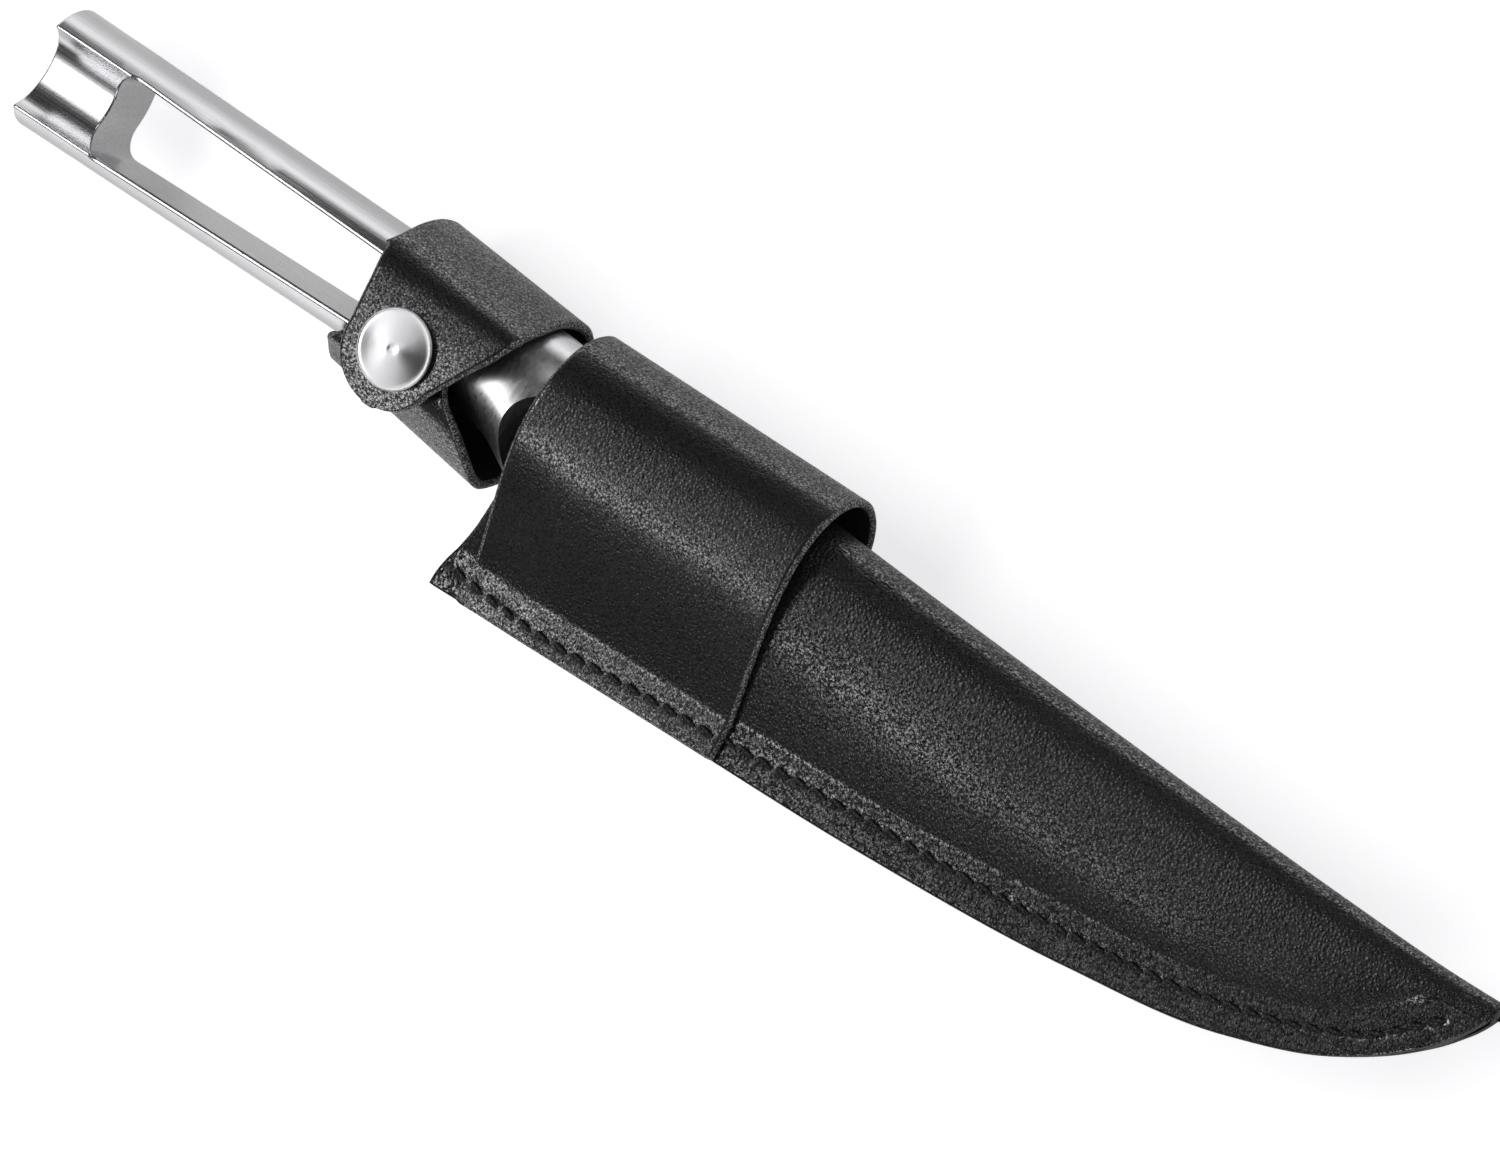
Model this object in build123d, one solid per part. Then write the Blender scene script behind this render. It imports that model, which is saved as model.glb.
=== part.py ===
from build123d import *
import math
import os

# A slot-handled knife pushed home in a stitched leather sheath, lying on its back.
# Design frame: X runs along the handle's axis from the butt to the sheath's tip, Y runs from the
# cutting edge to the spine, Z is the front, and the origin is on the handle's axis at the butt.
# The last step moves every piece so that the origin is under the middle of the whole object.

# ---- driving dimensions, mm ----
BUTT_R = 11.95              # handle radius at the butt
NECK_R = 11.3               # handle radius at the neck, and of the round bolster
NECK_X = 75.0               # the taper from butt to neck ends here
SEAM_X = 96.0               # the handle bar meets the bolster, under the strap
SCOOP_R = 8.4               # radius of the hollow on the butt's front
SCOOP_FLOOR_Z = 3.0         # lowest line of that hollow
SLOT_START_X = 14.6
SLOT_END_X = 90.0
SLOT_HALF_START = 7.95      # half width of the slot near the butt
SLOT_HALF_END = 6.2         # and at its far end
SLOT_CORNER_R = 4.5
SLOT_ROUND = 0.5            # rounding of the slot's rims
SCOOP_ROUND = 0.4           # rounding of the scoop's edges
RIM_Z = 8.0                 # the slot's rims lie beyond this height, front and back
SPIGOT_R = 5.0              # the bolster's round spigot, fixed in the handle bar
SPIGOT_LENGTH = 5.0

SPINE_HALF = 1.2            # half thickness of the blade's spine at the heel
TIP_HALF = 0.55             # and near the tip
EDGE_HALF = 0.25            # half thickness where the cutting bevel starts
BEVEL_HEIGHT = 1.6
HEEL_X = 118.5
POINT_X = 318.0

LEATHER = 2.0               # sheath leather
WELT_HALF = 1.0             # half thickness of the welt
FLANGE_HALF = LEATHER + WELT_HALF
BAND_LEATHER = 1.6
STRAP_LEATHER = 1.8
BAND_START_X = 119.5
BAND_END_X = 177.0
THROAT_BACK_Z = -15.3       # back of the throat band
REST_Z = THROAT_BACK_Z - STRAP_LEATHER - 0.1

STRAP_START_X = 75.0
UPPER_START_X = 80.0
STRAP_END_X = 111.0
STEM_END_X = 160.0
STEM_LOW_Y, STEM_HIGH_Y = -11.0, 9.0
HINGE_GAP = 0.3             # gap between two leather solids at a fold line
LOWER_HINGE_Z = -12.4       # the lower flap folds along this height

SNAP_X, SNAP_Y = 92.6, -4.0
CAP_R = 7.5
UPPER_TOP_Z = 18.2          # outer face of the upper flap at the snap
LOWER_TOP_Z = 14.4          # outer face of the lower flap at the snap

STITCH_PITCH = 4.0
STITCH_LENGTH = 3.5
THREAD_R = 0.45
STITCH_SLANT = 14.0         # degrees between a stitch and the seam line

FAR = 60.0                  # well past every face of the object


def across(x):
    """The plane square to the handle at x, with its own x along Y and its own y along Z."""
    return Plane(origin=(x, 0, 0), x_dir=(0, 1, 0), z_dir=(1, 0, 0))


def prism(face, low, high):
    """A plan-view face drawn on XY, extruded from z = low to z = high."""
    return Pos(0, 0, low) * extrude(face, high - low)


def between(x, x0, x1, value0, value1):
    """Straight-line value at x."""
    return value0 + (value1 - value0) * (x - x0) / (x1 - x0)


def offset_points(points, distance):
    """The points moved to their left-hand side by distance, square to the path."""
    moved = []
    for i, (a, b) in enumerate(points):
        before = points[max(i - 1, 0)]
        after = points[min(i + 1, len(points) - 1)]
        da, db = after[0] - before[0], after[1] - before[1]
        size = math.hypot(da, db)
        moved.append((a - db / size * distance, b + da / size * distance))
    return moved


def strip_face(x, outer, thickness, side):
    """A curved strip's section at x: a spline through outer and a second one beside it."""
    inner = offset_points(outer, thickness * side)
    edges = Spline(*outer) + Line(outer[-1], inner[-1])
    edges += Spline(*reversed(inner)) + Line(inner[0], outer[0])
    return across(x) * make_face(edges)


# ---- knife ----
def edges_within(shape, low, high):
    """The edges of shape that lie wholly inside the box between two corners."""
    found = []
    for edge in shape.edges():
        box = edge.bounding_box()
        least, most = tuple(box.min), tuple(box.max)
        if all(low[i] <= least[i] and most[i] <= high[i] for i in range(3)):
            found.append(edge)
    return found


def make_handle():
    bar = loft([across(0) * Circle(BUTT_R), across(NECK_X) * Circle(NECK_R)])
    bar += Pos(NECK_X, 0, 0) * Rot(0, 90, 0) * Cylinder(
        NECK_R, SEAM_X - NECK_X, align=(Align.CENTER, Align.CENTER, Align.MIN))
    ends = bar.edges().filter_by(GeomType.CIRCLE).sort_by(Axis.X)
    bar = fillet(ends[0], 0.5)
    slot_plan = make_face(Polyline(
        (SLOT_START_X, -SLOT_HALF_START), (SLOT_END_X, -SLOT_HALF_END),
        (SLOT_END_X, SLOT_HALF_END), (SLOT_START_X, SLOT_HALF_START), close=True))
    slot_plan = fillet(slot_plan.vertices(), SLOT_CORNER_R)
    bar -= prism(slot_plan, -FAR, FAR)
    # The slot's rims lie above RIM_Z on the front and below it on the back.
    slot_low, slot_high = SLOT_START_X - 1, SLOT_END_X + 1
    front_rim = edges_within(bar, (slot_low, -BUTT_R, RIM_Z), (slot_high, BUTT_R, BUTT_R))
    back_rim = edges_within(bar, (slot_low, -BUTT_R, -BUTT_R), (slot_high, BUTT_R, -RIM_Z))
    bar = fillet(front_rim + back_rim, SLOT_ROUND)
    bar -= Pos(-1, 0, SCOOP_FLOOR_Z + SCOOP_R) * Rot(0, 90, 0) * Cylinder(
        SCOOP_R, SLOT_START_X + 5, align=(Align.CENTER, Align.CENTER, Align.MIN))
    sides = edges_within(bar, (0.4, -SCOOP_R, RIM_Z), (SLOT_START_X + 2, SCOOP_R, BUTT_R))
    mouth = edges_within(bar, (-0.1, -SCOOP_R, SCOOP_FLOOR_Z - 0.1), (0.6, SCOOP_R, BUTT_R))
    bar = fillet(sides + mouth, SCOOP_ROUND)
    return bar - Pos(SEAM_X, 0, 0) * Rot(0, 90, 0) * Cylinder(
        SPIGOT_R, SPIGOT_LENGTH, align=(Align.CENTER, Align.CENTER, Align.MAX))


SPINE_LINE = [(112, 9.2), (182, 6.6), (240, 4.2), (290, 2.2), (POINT_X, 1.2)]
EDGE_LINE = [(112, -29.9), (175, -28.0), (212, -26.0), (250, -22.3), (284, -17.0), (304, -10.4),
             (POINT_X, 0.8)]


def line_at(points, x):
    """Height of a plan-view outline at x, from a smooth curve through its points."""
    upright = Axis((x, 0, 0), (0, 1, 0))
    return Spline(*points).find_intersection_points(upright)[0].Y


def blade_section(x):
    spine = line_at(SPINE_LINE, x)
    edge = line_at(EDGE_LINE, x)
    back = between(x, HEEL_X, POINT_X, SPINE_HALF, TIP_HALF)
    bevel = min(BEVEL_HEIGHT, 0.6 * (spine - edge))
    thin = min(EDGE_HALF, back)
    points = [(spine, back), (edge + bevel, thin), (edge, 0.02), (edge, -0.02),
              (edge + bevel, -thin), (spine, -back)]
    return across(x) * make_face(Polyline(*points, close=True))


def make_blade():
    stations = [HEEL_X, 150, 182, 212, 240, 262, 282, 298, 308, POINT_X - 2]
    plate = loft([blade_section(x) for x in stations], ruled=True)
    # Round bolster, growing towards the heel: x, top Y, half height along Y, half width along Z.
    rings = [(SEAM_X, NECK_R, NECK_R, NECK_R), (106, NECK_R, NECK_R, NECK_R),
             (112, 11.2, 12.4, 11.4), (118, 10.5, 14.0, 10.8), (126, 8.8, 14.2, 8.6)]
    bolster = loft([across(x) * Pos(top - tall, 0) * Ellipse(tall, wide)
                    for x, top, tall, wide in rings])
    shoulder = Pos(128.5, -8.5, SPINE_HALF) * Cone(
        9.5, 9.5 + 24, 40, align=(Align.CENTER, Align.CENTER, Align.MIN))
    bolster = bolster - shoulder - mirror(shoulder, Plane.XY)
    spigot = Pos(SEAM_X, 0, 0) * Rot(0, 90, 0) * Cylinder(
        SPIGOT_R, SPIGOT_LENGTH, align=(Align.CENTER, Align.CENTER, Align.MAX))
    heel_plate = prism(make_face(Polyline(
        (112, 9.0), (HEEL_X + 1, line_at(SPINE_LINE, HEEL_X + 1)),
        (HEEL_X + 1, line_at(EDGE_LINE, HEEL_X + 1) + BEVEL_HEIGHT), (HEEL_X - 0.5, -27.5),
        (116.5, -17.0), (112, -12.5), close=True)), -0.9, 0.9)
    return plate + bolster + heel_plate + spigot


# ---- sheath ----
# Outer shape at each station: x, spine height Y, half thickness of the bulge, crease height Y.
STATIONS = [(108, 13.6, 13.6, -31.8), (BAND_START_X, 13.4, 13.5, -31.3), (150, 11.2, 11.5, -30.2),
            (182, 9.3, 9.4, -28.8), (225, 7.3, 7.6, -26.4), (262, 5.8, 6.2, -22.3),
            (296, 4.8, 4.9, -15.4), (319, 4.5, 3.9, -2.2)]
CREASE_LINE = [(104, -32.0), (BAND_START_X, -31.3), (175, -29.2), (212, -27.4), (249, -23.8),
               (284, -18.8), (305, -11.8), (319, -1.2), (321.5, 2.4)]
OUTER_EDGE = [(113.0, -39.6), (165, -37.8), (210, -36.3), (255, -32.6), (288, -26.8), (310, -17.8),
              (325, -5.6), (331, 4.4)]


def bulged_curve(top, side, crest, crease, low):
    """From the spine's fold over the crest of the bulge and down to the crease."""
    middle = ((crest + crease) / 2, (side + low) / 2 + 0.17 * (side - low))
    return Spline((top, 0), (top - 0.36 * side, 0.74 * side), (crest, side), middle, (crease, low),
                  tangents=[(0, 1), (-1, -0.12)], tangent_scalars=[1, 1])


def shell_section(x, spine, bulge, crease, inset, open_edge):
    """Sheath section: a fold at the spine, a bulge, and the flange when open_edge is set."""
    top, side, low = spine - inset, bulge - inset, FLANGE_HALF - inset
    crest = top - 1.1 * side
    front = bulged_curve(top, side, crest, crease, low)
    end = -FAR if open_edge else crease
    edges = front + mirror(front, Plane.XZ)
    if open_edge:
        edges += Line((crease, low), (end, low)) + Line((crease, -low), (end, -low))
    edges += Line((end, low), (end, -low))
    return across(x) * make_face(edges)


def plan_face():
    """Plan of the sheath leather: slanted throat, curved sewn edge, pointed tip."""
    throat = ThreePointArc((BAND_START_X, -15), (116.9, -24.9), (113.0, -37.2))
    corner = ThreePointArc((113.0, -37.2), (113.1, -38.9), (114.8, -39.5))
    sewn = Spline((114.8, -39.5), *OUTER_EDGE[1:], tangents=[(1, 0.03), (0.45, 1)])
    rest = Polyline((331, 4.4), (331, FAR), (BAND_START_X, FAR), (BAND_START_X, -15))
    return make_face(throat + corner + sewn + rest)


def make_welt():
    crease = Spline(*CREASE_LINE)
    above = make_face(crease + Polyline(CREASE_LINE[-1], (FAR * 6, 2.4), (FAR * 6, FAR), (104, FAR),
                                        CREASE_LINE[0]))
    return prism(plan_face(), -WELT_HALF, WELT_HALF) - prism(above, -FAR, FAR)


def make_shell(welt):
    outer = loft([shell_section(*s, 0, True) for s in STATIONS + [(336, 4.9, 3.4, 0.1)]])
    pocket = loft([shell_section(*s, LEATHER, False) for s in STATIONS])
    return (outer & prism(plan_face(), -FAR, FAR)) - pocket - welt


def band_section(x, spine, front, inset):
    """Throat band section: a loose loop at the spine, flat against the flange at its ends."""
    top = spine - inset
    low = FLANGE_HALF + BAND_LEATHER - inset
    high = front - inset
    back = -THROAT_BACK_Z - inset
    upper = bulged_curve(top, high, top - 1.1 * high, -31.5, low)
    under = mirror(bulged_curve(top, back, top - 1.1 * back, -31.5, low), Plane.XZ)
    edges = upper + under + Line((-31.5, low), (-FAR, low)) + Line((-31.5, -low), (-FAR, -low))
    edges += Line((-FAR, low), (-FAR, -low))
    return across(x) * make_face(edges)


def make_band():
    ends = [(BAND_START_X, 15.4, 15.3), (BAND_END_X, 16.1, 13.2)]
    outer = loft([band_section(*e, 0) for e in ends])
    inner = loft([band_section(*e, BAND_LEATHER) for e in ends])
    return (outer - inner) & prism(plan_face(), -FAR, FAR)


SEAM_LINE = [(115.5, -34.8), (125, -35.6), (171, -33.5), (207, -31.0), (245, -28.2), (283, -22.8),
             (301, -17.4), (312, -12.2), (323.6, -2.0)]


def make_stitches(front):
    """Slanted stitches along the sewn edge, lying on the leather of one face."""
    seam = Spline(*SEAM_LINE)
    count = int(seam.length / STITCH_PITCH)
    sign = 1 if front else -1
    stitches = []
    for i in range(count):
        share = (i + 0.5) / count
        at = seam.position_at(share)
        along = seam.tangent_at(share)
        over_band = BAND_START_X < at.X < BAND_END_X + STITCH_LENGTH / 2
        height = FLANGE_HALF + (BAND_LEATHER if over_band else 0)
        turn = math.degrees(math.atan2(along.Y, along.X)) - sign * STITCH_SLANT
        body = Rot(0, 90, 0) * Cylinder(THREAD_R, STITCH_LENGTH)
        stitches.append(Pos(at.X, at.Y, sign * (height + THREAD_R)) * Rot(0, 0, turn) * body)
    return Compound(children=stitches)


# ---- strap ----
def cradle_outer(low_y, high_y):
    """Outer points of the strap round the neck's back, from the edge side to the shoulder."""
    return [(low_y, -6.0), (low_y + 3.4, -13.2), (-6, REST_Z), (0, REST_Z), (6, REST_Z),
            (high_y - 2.6, -12.2), (high_y, -2.0), (high_y - 1.9, 8.0), (8.3, 15.7)]


def flap_outer(high_y):
    """Outer points of the upper flap, from its shoulder to its rounded end."""
    return [(8.3, 15.7), (3, 17.7), (SNAP_Y, UPPER_TOP_Z), (-10, 18.0), (-16, 17.0)]


def lower_outer(low_y):
    """Outer points of the lower flap, from under its hinge line round to the front."""
    return [(low_y + 3.4, -13.2), (low_y, -6.0), (low_y - 0.9, 0.0), (low_y + 3.5, 8.8),
            (-9.5, 13.7), (SNAP_Y, LOWER_TOP_Z), (4.5, 14.3)]


def strap_loft(outer_of, side):
    """A strip that follows outer_of(x) from end to end of the strap's width."""
    ends = [STRAP_START_X, STRAP_END_X]
    return loft([strip_face(x, outer_of(x), STRAP_LEATHER, side) for x in ends], ruled=True)


def low_y_at(x):
    return between(x, STRAP_START_X, STRAP_END_X, -15.2, -20.2)


def high_y_at(x):
    return between(x, STRAP_START_X, STRAP_END_X, 16.4, 13.7)


def make_strap():
    """Stem and neck cradle: the part of the strap that stays with the sheath."""
    cradle = strap_loft(lambda x: cradle_outer(low_y_at(x), high_y_at(x)), 1)
    upper_trim = Pos(STRAP_START_X, 8.3, 0) * Box(
        UPPER_START_X - STRAP_START_X, FAR, FAR, align=(Align.MIN, Align.MIN, Align.CENTER))
    shoulder_trim = Pos(0, 8.3, 0) * Box(4 * FAR, 2 * FAR, FAR,
                                         align=(Align.MIN, Align.MAX, Align.MIN))
    hinge_trim = Pos(0, -8.0, LOWER_HINGE_Z) * Box(4 * FAR, FAR, FAR,
                                                   align=(Align.MIN, Align.MAX, Align.MIN))
    above_rest = Pos(0, 0, REST_Z) * Box(4 * FAR, 4 * FAR, FAR,
                                         align=(Align.MIN, Align.CENTER, Align.MIN))
    cradle = (cradle - upper_trim - shoulder_trim - hinge_trim) & above_rest
    stem_length = STEM_END_X - STRAP_START_X
    stem_plan = Pos(STRAP_START_X, (STEM_LOW_Y + STEM_HIGH_Y) / 2) * Rectangle(
        stem_length, STEM_HIGH_Y - STEM_LOW_Y, align=(Align.MIN, Align.CENTER))
    stem_plan = fillet(stem_plan.vertices().group_by(Axis.X)[-1], 6.0)
    return cradle + prism(stem_plan, REST_Z, REST_Z + STRAP_LEATHER)


def snap_hole(radius):
    return Pos(SNAP_X, SNAP_Y, 0) * Cylinder(radius, 2 * FAR)


def make_upper_flap():
    strip = strap_loft(lambda x: flap_outer(high_y_at(x)), 1)
    outline = make_face(
        Line((UPPER_START_X + 0.8, 8.3 - HINGE_GAP), (UPPER_START_X + 2.2, SNAP_Y))
        + ThreePointArc((UPPER_START_X + 2.2, SNAP_Y), (SNAP_X - 0.6, -15.4), (101.4, -8.2))
        + Spline((101.4, -8.2), (105.5, -1.5), (STRAP_END_X - 1.0, 8.3 - HINGE_GAP))
        + Line((STRAP_END_X - 1.0, 8.3 - HINGE_GAP), (UPPER_START_X + 0.8, 8.3 - HINGE_GAP)))
    return (strip & prism(outline, 0, FAR)) - snap_hole(1.7)


def make_lower_flap():
    strip = strap_loft(lambda x: lower_outer(low_y_at(x)), -1)
    above_hinge = Pos(0, 0, LOWER_HINGE_Z + HINGE_GAP) * Box(
        4 * FAR, 2 * FAR, FAR, align=(Align.MIN, Align.CENTER, Align.MIN))
    tongue = make_face(
        Line((STRAP_START_X, -FAR), (STRAP_START_X, -15))
        + Spline((STRAP_START_X, -15), (81.5, -6), (85.0, 1.0))
        + ThreePointArc((85.0, 1.0), (SNAP_X, 4.2), (100.0, 0.0))
        + Spline((100.0, 0.0), (103.5, -8), (STRAP_END_X, -15))
        + Polyline((STRAP_END_X, -15), (STRAP_END_X, -FAR), (STRAP_START_X, -FAR)))
    return (strip & above_hinge & prism(tongue, -FAR, FAR)) - snap_hole(1.6)


def turned(points):
    """A body turned about the snap's axis, from its half section in (radius, height)."""
    half = Plane.XZ * make_face(Polyline(*points, close=True))
    return Pos(SNAP_X, SNAP_Y, 0) * revolve(half, Axis.Z)


def make_snap():
    top = UPPER_TOP_Z + 0.05
    under = UPPER_TOP_Z - STRAP_LEATHER - 0.2
    stud_top = LOWER_TOP_Z + 0.05
    stud_under = LOWER_TOP_Z - STRAP_LEATHER - 0.4
    cap = turned([(0, top), (CAP_R - 0.2, top), (CAP_R, top + 0.25), (CAP_R - 0.1, top + 0.8),
                  (CAP_R - 0.8, top + 1.15), (4.5, top + 1.6), (1.6, top + 1.95),
                  (1.1, top + 1.8), (0, top + 1.75)])
    cap += turned([(0, under - 0.3), (1.35, under - 0.3), (1.35, top), (0, top)])
    socket = turned([(1.4, under - 0.35), (2.9, under - 0.35), (2.9, under - 1.1),
                     (3.7, under - 1.1), (4.8, under - 0.35), (4.8, under), (1.4, under)])
    spring = Pos(SNAP_X, SNAP_Y, under - 0.7) * Torus(2.6, 0.22)
    stud = turned([(1.35, stud_top), (4.2, stud_top), (4.2, stud_top + 0.2), (1.8, stud_top + 0.3),
                   (1.7, stud_top + 0.5), (2.1, stud_top + 0.8), (1.9, stud_top + 1.05),
                   (1.35, stud_top + 1.05)])
    post = turned([(0, stud_under - 0.4), (3.6, stud_under - 0.4), (3.6, stud_under),
                   (1.3, stud_under), (1.3, stud_top + 0.9), (0, stud_top + 0.9)])
    return {"snap_cap": cap, "snap_socket": socket, "snap_spring": spring, "snap_stud": stud,
            "snap_post": post}


def make_strap_stitches():
    """A box of stitches that holds the stem to the band and the sheath's back."""
    low_x, high_x = 126.0, 154.0
    low_y, high_y = STEM_LOW_Y + 3.0, STEM_HIGH_Y - 3.0
    corners = [(low_x, low_y), (high_x, low_y), (high_x, high_y), (low_x, high_y)]
    thread = []
    for i in range(4):
        side = Line(corners[i], corners[(i + 1) % 4])
        count = round(side.length / STITCH_PITCH)
        turn = i * 90
        for j in range(count):
            at = side.position_at((j + 0.5) / count)
            body = Rot(0, 0, turn) * Rot(0, 90, 0) * Cylinder(THREAD_R * 0.6, STITCH_LENGTH * 0.85)
            thread.append(Pos(at.X, at.Y, REST_Z + THREAD_R * 0.6) * body)
    return Compound(children=thread)


def build():
    welt = make_welt()
    nodes = {"handle": make_handle(), "blade": make_blade(), "sheath_shell": make_shell(welt),
             "welt": welt, "throat_band": make_band(), "front_stitches": make_stitches(True),
             "back_stitches": make_stitches(False), "upper_flap": make_upper_flap(),
             "lower_flap": make_lower_flap()}
    threads = make_strap_stitches()
    nodes["strap"] = make_strap() - threads
    nodes["strap_stitches"] = threads
    nodes.update(make_snap())
    return nodes


def main():
    nodes = build()
    boxes = [shape.bounding_box() for shape in nodes.values()]
    low = [min(getattr(b.min, a) for b in boxes) for a in "XYZ"]
    high = [max(getattr(b.max, a) for b in boxes) for a in "XYZ"]
    shift = Pos(-(low[0] + high[0]) / 2, -(low[1] + high[1]) / 2, -low[2])
    print("design origin is now at", shift.position)
    os.makedirs("parts", exist_ok=True)
    for name, shape in nodes.items():
        export_step(shift * shape, f"parts/{name}.step")


main()
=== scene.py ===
import math
import bpy
import numpy as np
from mathutils import Matrix, Vector


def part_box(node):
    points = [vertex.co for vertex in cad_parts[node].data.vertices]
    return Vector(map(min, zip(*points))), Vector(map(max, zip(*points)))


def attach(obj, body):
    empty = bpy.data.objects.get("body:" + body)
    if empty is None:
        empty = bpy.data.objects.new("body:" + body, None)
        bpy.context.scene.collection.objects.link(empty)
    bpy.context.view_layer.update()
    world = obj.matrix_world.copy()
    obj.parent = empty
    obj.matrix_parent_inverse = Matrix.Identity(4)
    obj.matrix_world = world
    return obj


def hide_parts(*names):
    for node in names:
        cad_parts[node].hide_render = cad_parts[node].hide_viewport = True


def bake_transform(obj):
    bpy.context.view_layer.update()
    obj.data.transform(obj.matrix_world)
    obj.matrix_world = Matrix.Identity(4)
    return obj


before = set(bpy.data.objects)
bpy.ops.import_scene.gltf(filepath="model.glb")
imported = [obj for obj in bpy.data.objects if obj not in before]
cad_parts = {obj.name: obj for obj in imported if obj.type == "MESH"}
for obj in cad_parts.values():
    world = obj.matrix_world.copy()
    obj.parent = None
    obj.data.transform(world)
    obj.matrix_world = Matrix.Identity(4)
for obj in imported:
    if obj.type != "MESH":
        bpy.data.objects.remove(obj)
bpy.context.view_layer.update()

# Lengths below are in millimetres in the design frame: X along the handle's axis from the butt to
# the sheath's tip, Y towards the spine, Z towards the front, origin on the axis at the butt.
MM = 0.001
handle_low, handle_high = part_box("handle")
BUTT_R = (handle_high.y - handle_low.y) / 2 / MM
ORIGIN = np.array([handle_low.x, (handle_low.y + handle_high.y) / 2, handle_low.z + BUTT_R * MM])


def place(points):
    """Design millimetres to metres in the row frame."""
    return np.asarray(points, float) * MM + ORIGIN


def design_box(node):
    low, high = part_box(node)
    return (np.array(low) - ORIGIN) / MM, (np.array(high) - ORIGIN) / MM


# ---- sizes, mm ----
LEATHER = 2.0                   # of the sheath
WELT_HALF = 1.0
FLANGE_HALF = LEATHER + WELT_HALF
BAND_LEATHER = 1.6
STRAP_LEATHER = 1.8
PITCH = 4.0                     # of the edge stitches
STITCH_LENGTH = 0.86 * PITCH
STITCH_SLANT = -16.0            # degrees
THREAD_R = 0.48
band_low, band_high = design_box("throat_band")
BAND_START, BAND_END = band_low[0], band_high[0]
strap_low, strap_high = design_box("strap")
STRAP_START, STEM_END = strap_low[0], strap_high[0]
REST_Z = strap_low[2]           # of the strap's back face, on which the whole object lies
STRAP_END = design_box("lower_flap")[1][0]
cap_low, cap_high = design_box("snap_cap")
SNAP = (cap_low + cap_high) / 2
CAP_R = (cap_high[0] - cap_low[0]) / 2
TIP_X = design_box("sheath_shell")[1][0]


# ---- curves and grids ----
def curve_at(points, x):
    """Smooth curve through (x, value) points, read at x, by cubic pieces with limited slopes."""
    px, py = np.array(points, float).T
    step = np.diff(px)
    slope = np.diff(py) / step
    tangent = np.empty_like(py)
    tangent[0], tangent[-1] = slope[0], slope[-1]
    tangent[1:-1] = (slope[:-1] * step[1:] + slope[1:] * step[:-1]) / (step[1:] + step[:-1])
    x = np.asarray(x, float)
    i = np.clip(np.searchsorted(px, x) - 1, 0, len(step) - 1)
    t = np.clip((x - px[i]) / step[i], 0, 1)
    a, b = py[i], py[i + 1]
    ta, tb = tangent[i] * step[i], tangent[i + 1] * step[i]
    return (a * (1 + 2 * t) * (1 - t) ** 2 + ta * t * (1 - t) ** 2
            + b * t * t * (3 - 2 * t) + tb * t * t * (t - 1))


def ramp(x, low, high):
    """0 before low, 1 after high, smooth in between."""
    t = np.clip((np.asarray(x, float) - low) / (high - low), 0, 1)
    return t * t * (3 - 2 * t)


def grid_faces(rows, columns, first=0, close=False, flip=False):
    """Quads between the points of a grid whose first vertex is number first. close joins the last
    column to the first one, and flip turns the faces over."""
    faces = []
    for i in range(rows - 1):
        for j in range(columns - (0 if close else 1)):
            k = (j + 1) % columns
            a, b = first + i * columns + j, first + i * columns + k
            c, d = first + (i + 1) * columns + k, first + (i + 1) * columns + j
            faces.append((a, d, c, b) if flip else (a, b, c, d))
    return faces


def capped(faces, rows, columns):
    """The faces of a tube of rows rings with columns points each, with both of its ends closed."""
    last = (rows - 1) * columns
    return faces + [tuple(range(columns)), tuple(range(last + columns - 1, last - 1, -1))]


def make_object(name, vertices, faces, materials, slots=None):
    mesh = bpy.data.meshes.new(name)
    mesh.from_pydata([tuple(v) for v in place(vertices)], [], faces)
    mesh.validate()
    for material in materials:
        mesh.materials.append(material)
    if slots is not None:
        mesh.polygons.foreach_set("material_index", np.asarray(slots, np.int32))
    mesh.polygons.foreach_set("use_smooth", [True] * len(mesh.polygons))
    mesh.update()
    piece = bpy.data.objects.new(name, mesh)
    bpy.context.scene.collection.objects.link(piece)
    return piece


def set_attribute(piece, name, values):
    """One number at each vertex, which a material can read by name."""
    data = piece.data.attributes.new(name, "FLOAT", "POINT")
    data.data.foreach_set("value", np.asarray(values, np.float32))


RIM_ROWS = 4                    # steps round the thickness of a cut edge
RIM_SHAPE = 0.6                 # below 1, the edge is fuller than a half circle


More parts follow.
